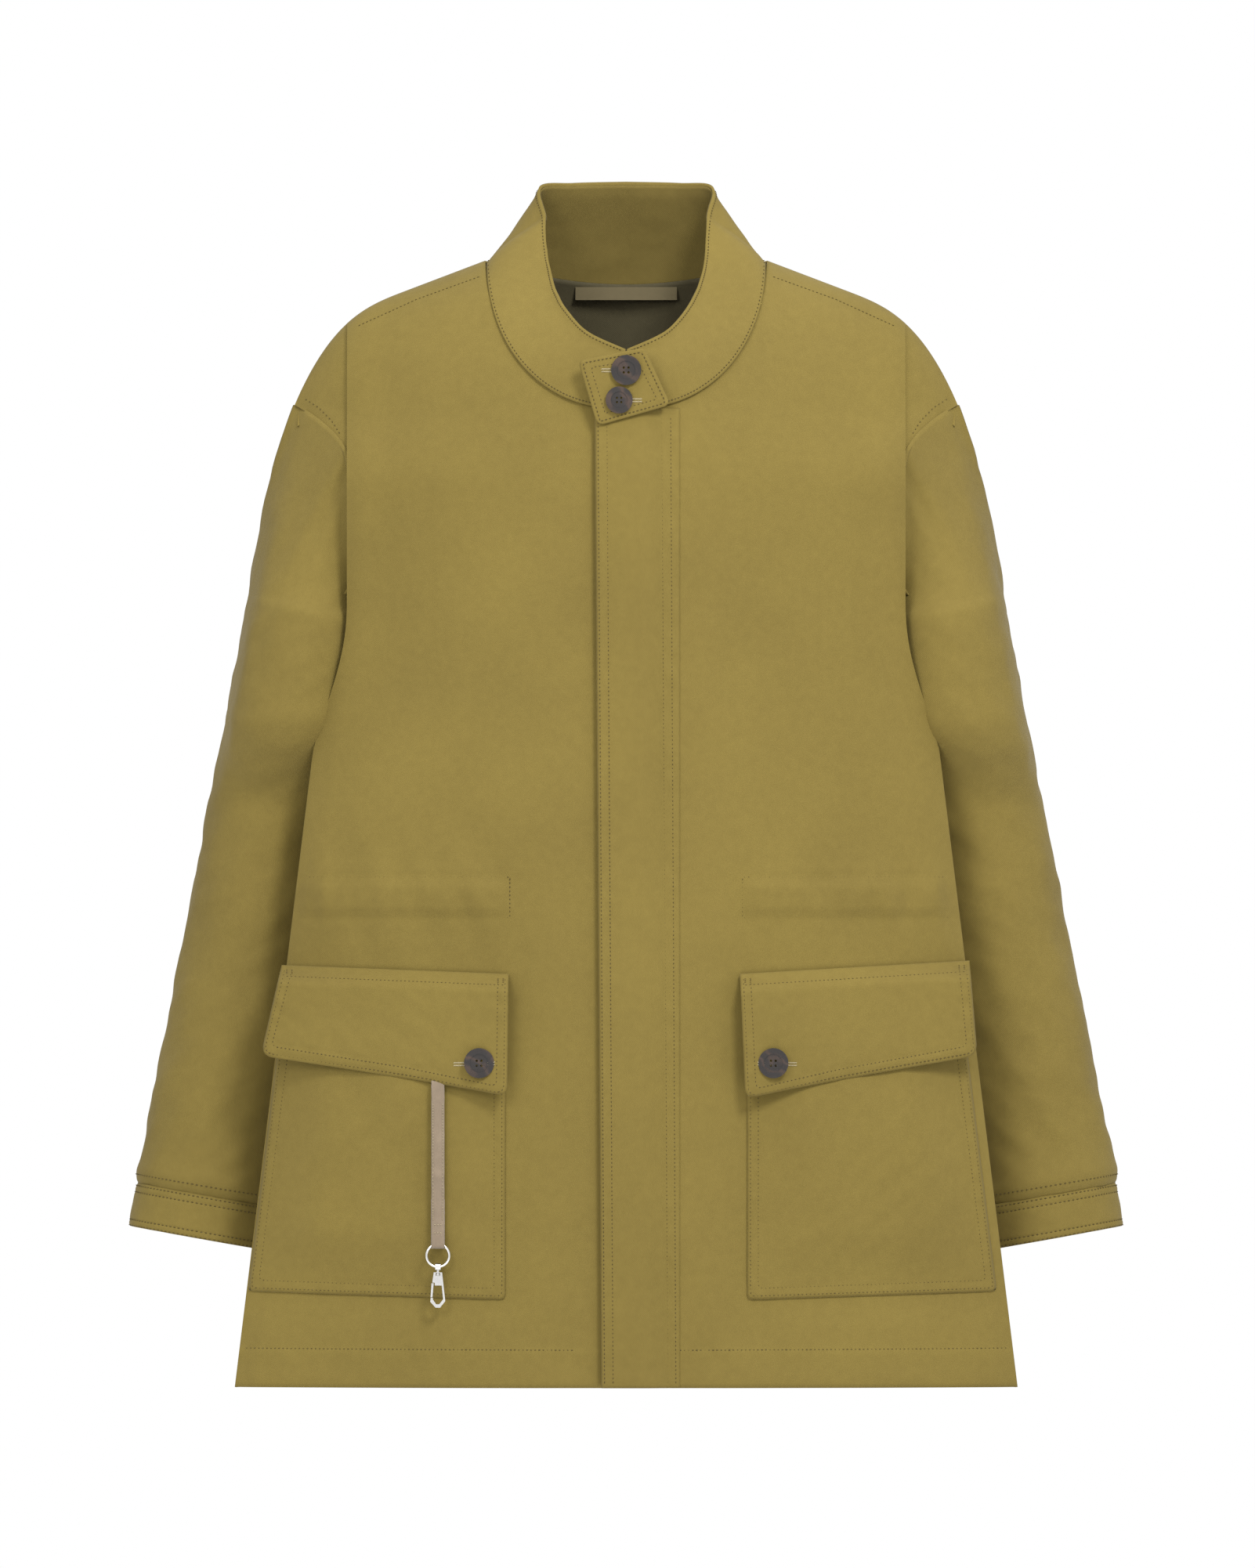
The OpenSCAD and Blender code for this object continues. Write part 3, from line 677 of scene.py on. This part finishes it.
def tabPoint(u, v):
    wide, tall = 55, 46
    a, b = u*wide, v*tall
    if u < 0.5 and v < 0.5:
        a, b = roundCorner(a, b, tab["round"])
    elif u < 0.5:
        a, c = roundCorner(a, tall - b, tab["round"])
        b = tall - c
    elif v < 0.5:
        c, b = roundCorner(wide - a, b, tab["round"])
        a = wide - c
    else:
        c, d = roundCorner(wide - a, tall - b, tab["round"])
        a, b = wide - c, tall - d
    rightLow, rightTop, leftTop, leftLow = (Vector(c) for c in tab["corners"])
    p = leftLow.lerp(rightLow, a/wide).lerp(leftTop.lerp(rightTop, a/wide), b/tall)
    return p.x, tabY(p.x, p.y, min(a, wide - a, b, tall - b)), p.y


def tabY(x, z, edge=9):
    roll = 1.1*smooth((3 - edge)/3)
    groove = 0.35*math.exp(-((edge - 3.4)/1.2)**2)
    return tab["front"] - 0.4*soft(x, z, 0, 18, 11) + roll + groove


throat = clothPiece("throatTab", 50, 44, tabPoint, thick=tab["thick"])
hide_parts("collar_tab")
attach(throat, "collar_tab")


def tabInset(d):
    rightLow, rightTop, leftTop, leftLow = (Vector(c) for c in tab["corners"])
    middle = (rightLow + rightTop + leftTop + leftLow)/4
    made = [c + (middle - c).normalized()*d*1.38 for c in (leftLow, leftTop, rightTop, rightLow)]
    return [tuple(c) for c in (*made, made[0])]


def buttonhole(surface, x0, x1, z, tilt=0.0):   # close cross stitches along both lips of a slit
    runs = []
    for lip in (-1, 1):
        def line(t, lip=lip):
            x = mix(x0, x1, t)
            lipZ = z + lip + tilt*(x - x0)
            return place(x, surface(x, lipZ) - 0.15, lipZ), Vector((0, -1, 0))
        count = max(4, int(abs(x1 - x0)/0.55))
        for k in range(count):
            at, out = line((k + 0.5)/count)
            runs.append((at, Vector((0.00015, 0, 0.00085)), Vector((0.0003, 0, 0)), out*0.0005))
    return runs


tabSeams = stitchPiece("tabStitches", [runOn(tabY, tabInset(3.0), 3), runOn(tabY, tabInset(8.2), 3)])
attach(tabSeams, "collar_tab")
tabSlits = [buttonhole(tabY, -19, -6, 778.5), buttonhole(tabY, 3, 12, 755.6)]
tabHoles = stitchPiece("tabButtonholes", tabSlits, "cream")
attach(tabHoles, "collar_tab")
collarSeams = stitchPiece("collarStitches", [collarLine(0.95), collarLine(0.045)])
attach(collarSeams, "coat")
print("collar and tab made")

# patch pockets and flaps
pocket = {"inner": 92.5, "low": 67.5, "top": 300, "puff": 7.5, "hem": 2.2}
flap = {"in": 88, "seamIn": (88, 17), "seamOut": (262, 23), "round": 9, "buttonAt": (112.5, 248.5)}
strapRoom = {"at": -144, "half": 26}


def pocketOuter(side, z):
    return min(halfWidth(z) - (7 if side > 0 else 1), 291)


def pocketY(x, z):
    side = 1 if x > 0 else -1
    low = pocket["low"] + 6*clip((abs(x) - pocket["inner"])/195)
    inside = (abs(x) - pocket["inner"], pocketOuter(side, z) - abs(x), z - low)
    flat = [smooth((d - 5)/48) for d in inside]
    groove = sum(0.45*math.exp(-((d - gauge)/1.5)**2) for d in inside for gauge in (2.6, 8.5))
    edge = min(inside)
    folds = 1.5*soft(x + z*0.5, 0, z*0.4, 38, 12) + 0.8*soft(x - z, 3, z*0.5, 17, 13)
    ripple = 0.5*soft(x + z*1.1, 0, z - x, 8, 14)*math.exp(-((edge - 6)/7)**2)
    calm = flat[0]*flat[1]*flat[2]
    puff = pocket["puff"]*calm*(1 if z < 200 else mix(1, 0.6, (z - 200)/100)) + folds*(0.3 + 0.7*calm)
    keep = 0.6*math.exp(-((x - strapRoom["at"])/strapRoom["half"])**2)   # the strap lies over this stretch
    stand = pocket["hem"] + max(puff, 0)*(1 - keep*0.4) + ripple
    return panelY(x, z) - stand + groove*0.8 + 1.2*smooth((2 - edge)/2)


def pocketPoint(side):
    def at(u, v):
        low = pocket["low"] + 6*u
        z = mix(low, pocket["top"], v)
        outer = pocketOuter(side, z)
        x = mix(pocket["inner"], outer, u)
        a, b = x - pocket["inner"], z - low
        if u < 0.5:
            a, b = roundCorner(a, b, 4)
            x, z = pocket["inner"] + a, low + b
        else:
            a, b = roundCorner(outer - x, b, 4)
            x, z = outer - a, low + b
        return side*x, pocketY(side*x, z), z
    return at


# sides: inner and outer, each at the seam and below; heights: both ends of the seam and of the lower edge
def flapEdges(side):
    if side > 0:
        return (87, 91, 263, 269), (317, 327, 221, 254)
    return (90, 91, 264, 280), (317, 323.5, 223, 254)


def flapPlane(x):
    t = (abs(x) - flap["in"])/174
    near = frontShape(88, 320) - flap["seamIn"][1]
    far = frontShape(255, 320) - flap["seamOut"][1]
    return mix(near, far, t)


def flapPlace(side, x, z):   # the distance down from the flap's seam, and the distance to the nearest free edge
    (inTop, inLow, outTop, outLow), (topIn, topOut, lowIn, lowOut) = flapEdges(side)
    guess = clip((abs(x) - inTop)/(outTop - inTop))
    top, low = mix(topIn, topOut, guess), mix(lowIn, lowOut, guess**0.9)
    v = (z - low)/(top - low)
    inner, outer = mix(inLow, inTop, v), mix(outLow, outTop, v)
    return top - z, min(abs(x) - inner, outer - abs(x), (z - low)*0.98)


def flapY(x, z):
    side = 1 if x > 0 else -1
    down, edge = flapPlace(side, x, z)
    buttonX, buttonZ = flap["buttonAt"]
    calm = 1 - math.exp(-((abs(x) - buttonX)/22)**2 - ((z - buttonZ)/22)**2)
    folds = (0.9*soft(x, 0, z*0.7, 36, 15) + 0.5*soft(x + z, 0, z, 15, 16))*calm
    ripple = 0.45*soft(x + z*0.8, 0, z - x, 8, 17)*math.exp(-((edge - 6)/6)**2)*calm
    groove = 0.4*math.exp(-((edge - 2.6)/1.3)**2) + 0.4*math.exp(-((edge - 8.2)/1.3)**2)
    sewn = smooth((15 - down)/15)
    y = flapPlane(x) - max(folds, -0.4) - ripple + groove*calm + 1.4*smooth((2.2 - edge)/2.2)
    return mix(y, panelY(x, z) - 3.4 - 1.2*math.exp(-((down - 8)/5)**2), sewn)


def flapPoint(side):
    (inTop, inLow, outTop, outLow), (topIn, topOut, lowIn, lowOut) = flapEdges(side)

    def at(u, v):
        top, low = mix(topIn, topOut, u), mix(lowIn, lowOut, u**0.9)
        inner, outer = mix(inLow, inTop, v), mix(outLow, outTop, v)
        x, z = mix(inner, outer, u), mix(low, top, v)
        if v < 0.5:
            a = x - inner if u < 0.5 else outer - x
            a, b = roundCorner(a, z - low, flap["round"])
            x, z = (inner + a if u < 0.5 else outer - a), low + b
        return side*x, flapY(side*x, z), z
    return at


def insetFlap(side, d):
    (inTop, inLow, outTop, outLow), (topIn, topOut, lowIn, lowOut) = flapEdges(side)
    return [(side*(inTop + d), topIn - 3), (side*(inLow + d), lowIn + d),
            *((side*mix(inLow, outLow, t), mix(lowIn, lowOut, t**0.9) + d) for t in (0.4, 0.7)),
            (side*(outLow - d), lowOut + d*0.9), (side*(outTop - d), topOut - 3)]


flapTop = 322
for label, side in sides:
    bag = clothPiece(f"{label}PocketCloth", 80, 96, pocketPoint(side), thick=1.6, outward=side)
    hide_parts(f"{label}_pocket")
    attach(bag, f"{label}_front")
    cover = clothPiece(f"{label}FlapCloth", 90, 44, flapPoint(side), thick=2.0, outward=side)
    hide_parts(f"{label}_flap")

    def pocketRoute(d):
        return [(side*(pocket["inner"] + d), 298), (side*(pocket["inner"] + d), pocket["low"] + d + 0.3),
                (side*(pocketOuter(side, 75) - d), pocket["low"] + 6 + d),
                (side*(pocketOuter(side, 298) - d), 298)]
    pocketSeams = stitchPiece(f"{label}PocketStitches", [runOn(pocketY, pocketRoute(d), 4) for d in (2.6, 8.5)])
    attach(pocketSeams, f"{label}_front")
    (inTop, inLow, outTop, outLow), (topIn, topOut, lowIn, lowOut) = flapEdges(side)
    topLine = [(side*(inTop + 3), topIn - 8.5), (side*(outTop - 3), topOut - 8.5)]
    tacks = []
    for x, z in ((inTop + 6, topIn - 5), (outTop - 6, topOut - 5)):
        for k in range(4):
            tackZ = z - k*0.9 + 1.2
            tacks += runOn(flapY, [(side*x - 4, tackZ), (side*x + 4, tackZ)])
    flapRuns = [runOn(flapY, insetFlap(side, 2.6), 7), runOn(flapY, insetFlap(side, 8.2), 5),
                runOn(flapY, topLine), tacks]
    flapSeams = stitchPiece(f"{label}FlapStitches", flapRuns)
    slitStart, slitEnd = flap["buttonAt"][0] - 12, 132 if side < 0 else 130.5
    slit = buttonhole(flapY, side*slitStart, side*slitEnd, flap["buttonAt"][1], -0.02*side)
    flapHole = stitchPiece(f"{label}FlapButtonhole", [slit], "cream")
    foldStart, foldEnd = place(side*150, -80, flapTop), place(side*150, -80, flapTop - 14)
    for one in (cover, flapSeams, flapHole):
        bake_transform(one)
print("pockets and flaps made")

# sleeves and cuffs
sleeve = {
    "knots": [(242, 56, 600), (277, 62, 400), (309, 62, 220), (327, 60, 113)], "tilt": math.radians(10),
    "topHalf": 47, "lowHalf": 55, "topDeep": 58, "lowDeep": 42, "seam": 0.865, "cuffHalf": 56, "cuffDeep": 43,
    "cuffSeams": (0.05, 0.17, 0.79, 0.96),
}


def armRing(a):
    z = 680 + 74*math.cos(a)
    behind, ahead = max(0, -math.sin(a)), max(0, math.sin(a))
    raised = 15*smooth(behind*2.4)*smooth(max(0, math.cos(a))*2.5)   # behind, it goes up inside the back
    x = (halfWidth(z) - 0.4 - 3.5*smooth(ahead*3) - 16*smooth(-math.cos(a)*1.5)*ahead)*(1 - 0.26*behind)
    y = mix(middleY(z) + 2, backY(x, z) - 2.5, smooth(behind*2.2))
    tucked = mix(6, -1.2, smooth((z - 706)/14))   # behind the front low down, over the shoulder's edge above
    y = mix(y, frontShape(x, z) + tucked, smooth(ahead*2.5))
    return Vector((x - 0.5*raised, y - 0.35*raised, z - 1 + raised))


def sleeveRing(t, a, wide, deep):
    across, tilt = wide*math.cos(a), sleeve["tilt"]
    reach = Vector((across*math.cos(tilt), -deep*math.sin(a), across*math.sin(tilt)))
    return curveAt(sleeve["knots"], t) + reach


def sleevePoint(side):
    def at(u, v):   # u goes round from the inner side, v down from the armhole to the cuff seam
        a = math.pi + 2*math.pi*u
        top = 0.13
        t = max(0, v - top)/(1 - top)*sleeve["seam"]
        share = t/sleeve["seam"]
        wide = mix(sleeve["topHalf"], sleeve["lowHalf"], share)
        deep = mix(sleeve["topDeep"], sleeve["lowDeep"], share)
        p = sleeveRing(t, a, wide, deep)
        if v < top:
            k = v/top
            p = armRing(a).lerp(p, smooth(k)*0.5 + k*0.5)
            p += Vector((4*math.sin(math.pi*k)*max(0, math.cos(a)), 0, 0))   # the sleeve head stands full
        forward = 42*smooth((p.z - 440)/75)*smooth(v/top - 0.2)*smooth(math.sin(a)*1.7)
        p.y -= forward   # beside the body the sleeve lies against the fold of the front
        out = Vector((math.cos(a), -math.sin(a), 0))
        low = p.z
        folds = (3.4*(0.5 + 0.5*soft(p.x*0.8 - low*0.55, p.y*0.6, low*0.5, 44, 18 + side))
                 + 1.5*soft(p.x + low*0.7, p.y, low, 20, 20 + side))
        creases = math.sin((low + 0.5*p.x)/11)*max(0, math.cos(a - math.pi*0.9))
        elbow = 2.4*math.exp(-((low - 430)/55)**2)*creases
        seamPuff = 2.2*math.exp(-((v - 0.965)/0.022)**2) - 1.6*smooth((v - 0.985)/0.015)
        rim = smooth(v/0.07)
        p += out*((folds + elbow)*rim*(1 - 0.6*smooth((v - 0.93)/0.05)) + seamPuff)
        return side*p.x, p.y, p.z
    return at


def sleeveLiningPoint(side):
    outer = sleevePoint(side)

    def at(u, v):
        w = mix(0.012, 1, v)
        p = Vector(outer(u, w))
        middle = (Vector(outer(0.25, w)) + Vector(outer(0.75, w)))/2
        return tuple(p + (middle - p).normalized()*4.2)
    return at


def cuffPoint(side):
    def at(u, v):
        a = math.pi + 2*math.pi*u
        t = mix(sleeve["seam"] - 0.004, 1, v)
        p = sleeveRing(t, a, sleeve["cuffHalf"], sleeve["cuffDeep"])
        roll = -1.4*smooth((0.05 - v)/0.05) - 1.0*smooth((v - 0.95)/0.05)
        out = Vector((math.cos(a), -math.sin(a), 0))
        ripple = 0.7*soft(p.x, p.y, p.z, 12, 25 + side) + 0.9*soft(p.x, p.y, p.z*0.5, 30, 27 + side)
        grooves = sum(0.4*math.exp(-((v - g)/0.028)**2) for g in sleeve["cuffSeams"])
        p += out*(roll + ripple - grooves)
        return side*p.x, p.y, p.z
    return at


def ringRun(point, v, length, lift=0.25):
    def line(t):
        at, beside, below = (place(*point(u, w)) for u, w in ((t, v), (t + 0.004, v), (t, v + 0.004)))
        middle = (place(*point(0.25, v)) + place(*point(0.75, v)))/2
        out = (beside - at).cross(below - at).normalized()
        if out.dot(at - middle) < 0:
            out = -out
        return at + out*lift/1000, out
    return seamRun(line, length)


for label, side in sides:
    arm = clothPiece(f"{label}SleeveCloth", 84, 170, sleevePoint(side), outward=side, closed=True)
    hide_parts(f"{label}_sleeve")
    inner = clothPiece(f"{label}SleeveLining", 48, 80, sleeveLiningPoint(side), finish="lining",
                       thick=0.7, outward=side, closed=True)
    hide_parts(f"{label}_sleeve_lining")
    armSeams = stitchPiece(f"{label}SleeveStitches", [ringRun(sleevePoint(side), 0.975, 300)])
    wrist = clothPiece(f"{label}CuffCloth", 84, 40, cuffPoint(side), outward=side, thick=3.0, closed=True)
    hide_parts(f"{label}_cuff")
    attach(wrist, f"{label}_sleeve")
    cuffRuns = [ringRun(cuffPoint(side), v, 305) for v in sleeve["cuffSeams"]]
    cuffSeams = stitchPiece(f"{label}CuffStitches", cuffRuns)
    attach(cuffSeams, f"{label}_sleeve")
    for one in (arm, armSeams, inner):
        place(side*252, 20, 750)
        place(side*262, 56, 600)
        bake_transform(one)
print("sleeves made")

# key strap on the wearer's right pocket
strapLow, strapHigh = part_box("key_strap")
strap = {"half": 5.0, "thick": 1.3}


def strapPoint(u, v):
    low = strapLow.z*1000 + coat["hemDown"]
    middle = (strapLow.y + strapHigh.y)*500 + coat["loopBehind"]
    top = strapHigh.z*1000 + coat["hemDown"] + 5
    turn = low + 4.2
    hang = [(6.0, top), (0.2, top - 9), (-0.9, mix(turn, top, 0.6))]
    loop = [(-1.0, 22), (-1.9, 8), (-3.0, 1), (-2.4, -2.6), (0, -3.6),
            (2.4, -2.6), (3.0, 1), (2.0, 8), (1.2, 20), (1.1, 34)]
    path = hang + [(y, turn + up) for y, up in loop]
    p = curveAt([(0, middle + y, z) for y, z in path], v)
    x = mix(-strap["half"], strap["half"], u) + 0.25*soft(0, 0, v*900, 12, 30)
    return strapMiddle + x, p.y + 0.25*soft(x, 0, p.z, 9, 31) + 0.3*abs(2*u - 1)**6, p.z


strapMiddle = (strapLow.x + strapHigh.x)*500
suede = clothPiece("keyStrap", 10, 110, strapPoint, finish="suede", thick=strap["thick"],
                   outward=-1)
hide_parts("key_strap")
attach(suede, "key_strap")


def strapRun(u, v0, v1, length):
    def line(t):
        return place(*strapPoint(u, mix(v0, v1, t))) + Vector((0, -0.0006, 0)), Vector((0, -1, 0))
    return seamRun(line, length, pitch=2.6, stitch=1.9, across=0.55)


def strapAcross(v):
    def line(t):
        return place(*strapPoint(mix(0.16, 0.84, t), v)) + Vector((0, -0.0006, 0)), Vector((0, -1, 0))
    return seamRun(line, 7, pitch=1.8, stitch=1.3)


strapRuns = [strapRun(u, 0.11, 0.26, 100) for u in (0.13, 0.87)] + [strapAcross(v) for v in (0.275, 0.33)]
strapSeams = stitchPiece("strapStitches", strapRuns, "cream")
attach(strapSeams, "key_strap")
print("strap made")

# stitches on the body
for label, side in sides:
    runs = [runOn(panelY, [(side*40, panel["hemLine"]), (side*(halfWidth(30) - 4), panel["hemLine"] + 1)])]
    for z in (391, 360):
        runs.append(runOn(panelY, [(side*89, z), (side*(halfWidth(z) - 8), z)]))
    runs.append(runOn(panelY, [(side*89, 360), (side*89, 391)]))
    seams = stitchPiece(f"{label}PanelStitches", runs)
    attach(seams, f"{label}_front")
    shoulderLine = [(side*x, ridgeZ(x) - down) for x, down in ((112, 11), (160, 10), (206, 9))]
    armholeLine = [(side*x, z) for x, z in ((247, 758), (236, 751), (226, 741), (219, 730))]
    ridgeRuns = [runOn(lambda x, z: frontY(x, z) - edgeCurl(x, z) - 0.3, shoulderLine),
                 runOn(lambda x, z: frontY(x, z) + 0.6, armholeLine)]
    ridgeSeams = stitchPiece(f"{label}ShoulderStitches", ridgeRuns)
    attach(ridgeSeams, "coat")
print("body stitches made")

# finishes for the CAD pieces that show as they are
shownAsMade = {
    "horn": ["collar_buttons", "left_pocket_button", "right_pocket_button"],
    "thread": ["collar_button_threads"],
    "loop": ["hanger_loop"],
    "lining": ["back_lining", "left_upper_lining", "right_upper_lining"],
    "shell": ["left_waist_casing", "right_waist_casing", "back_waist_casing"],
    "elastic": ["left_waist_elastic", "right_waist_elastic", "back_waist_elastic"],
    "suede": ["strap_anchor"],
    "nickel": ["zip_box", "zip_pin", "zip_slider", "zip_pull", "key_ring", "hook_swivel", "hook_body",
               "hook_gate", "gate_pin", "gate_spring"],
}
for finish, names in shownAsMade.items():
    for name in names:
        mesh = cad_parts[name].data
        mesh.materials.clear()
        mesh.materials.append(finishes[finish])
print("finishes set")

# floor, light and camera
studio = {"middle": Vector((0.001, -0.11, -0.384)), "tall": 1.201, "away": 30, "floor": -1.15}


def paleFloor():
    bm = bmesh.new()
    bmesh.ops.create_grid(bm, x_segments=2, y_segments=2, size=3)
    bmesh.ops.translate(bm, verts=bm.verts[:], vec=(0, 0, studio["floor"]))
    mesh = bpy.data.meshes.new("floor")
    bm.to_mesh(mesh)
    bm.free()
    material, tree, shader, coords = startMaterial("paleFloor", 0.9)
    shader.inputs["Base Color"].default_value = (0.9, 0.9, 0.9, 1)
    mesh.materials.append(material)
    piece = bpy.data.objects.new("floor", mesh)
    bpy.context.scene.collection.objects.link(piece)


def softLight(name, at, size, power):
    lamp = bpy.data.lights.new(name, "AREA")
    lamp.shape = "RECTANGLE"
    lamp.size, lamp.size_y = size
    lamp.energy = power
    piece = bpy.data.objects.new(name, lamp)
    piece.location = at
    piece.rotation_euler = (studio["middle"] - Vector(at)).to_track_quat("-Z", "Y").to_euler()
    bpy.context.scene.collection.objects.link(piece)


paleFloor()
softLight("keyLight", (1.1, -2.5, 1.8), (0.8, 0.9), 104)
softLight("fillLight", (-1.3, -2.9, 0.9), (1.2, 1.4), 44)
softLight("topLight", (0.1, -0.6, 1.9), (1.6, 1.2), 22)
world = bpy.data.worlds.new("studio")
world.use_nodes = True
world.node_tree.nodes["Background"].inputs["Color"].default_value = (1, 1, 1, 1)
world.node_tree.nodes["Background"].inputs["Strength"].default_value = 1.0
bpy.context.scene.world = world
optics = bpy.data.cameras.new("camera")
optics.sensor_fit = "VERTICAL"
optics.sensor_height = 24
optics.lens = 24*studio["away"]/studio["tall"]
optics.clip_end = 60
camera = bpy.data.objects.new("camera", optics)
camera.location = studio["middle"] - Vector((0, studio["away"], 0))
camera.rotation_euler = (math.pi/2, 0, 0)
bpy.context.scene.collection.objects.link(camera)
bpy.context.scene.camera = camera
bpy.context.scene.view_settings.view_transform = "Standard"
